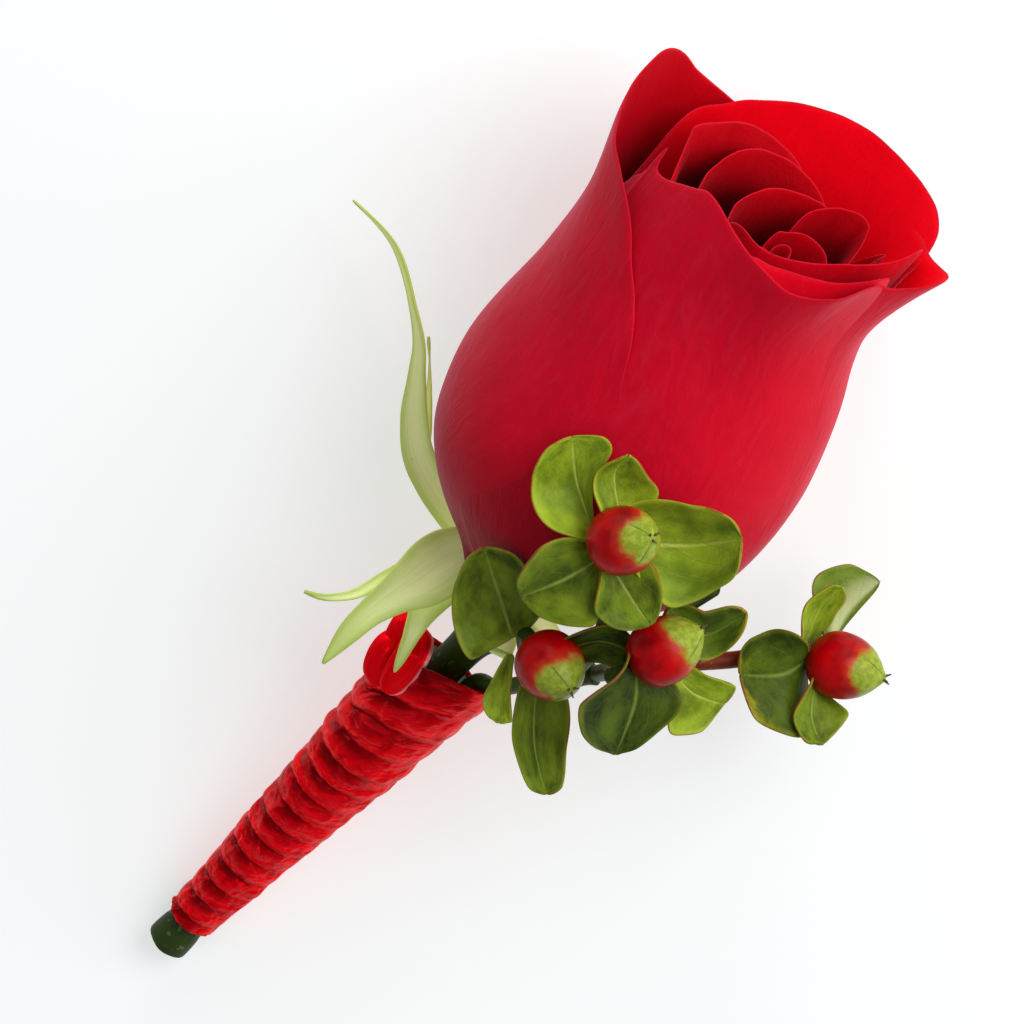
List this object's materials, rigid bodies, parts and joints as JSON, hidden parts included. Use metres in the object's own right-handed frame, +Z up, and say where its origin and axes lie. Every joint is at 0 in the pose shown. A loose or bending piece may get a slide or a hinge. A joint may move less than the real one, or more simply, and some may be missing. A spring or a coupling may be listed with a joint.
{
  "type": "boutonniere",
  "caption": "Red rose bud with glossy red hypericum berries and green leaves, its stem bound in satin ribbon, lying on its side.",
  "frame": {"origin": "middle of the flat spot on the under side of the rose that the posy rests on", "axes": "+X along the bloom toward the tips of its petals, +Y to the side of the free sepals, +Z up from the surface"},
  "size_m": [0.1335, 0.0778, 0.0486],
  "materials": {
    "petal": "satin",
    "stem": "satin",
    "leaf": "satin",
    "berry": "gloss",
    "tape": "matte",
    "ribbon": "satin"
  },
  "bodies": {
    "root": {"rose_bloom": "petal", "rose_stem": "stem", "hypericum_sprig": "leaf", "hypericum_berry_1": "berry", "hypericum_berry_2": "berry", "hypericum_berry_3": "berry", "hypericum_berry_4": "berry", "stem_binding": "tape", "ribbon_wrap": "ribbon"}
  },
  "joints": []
}
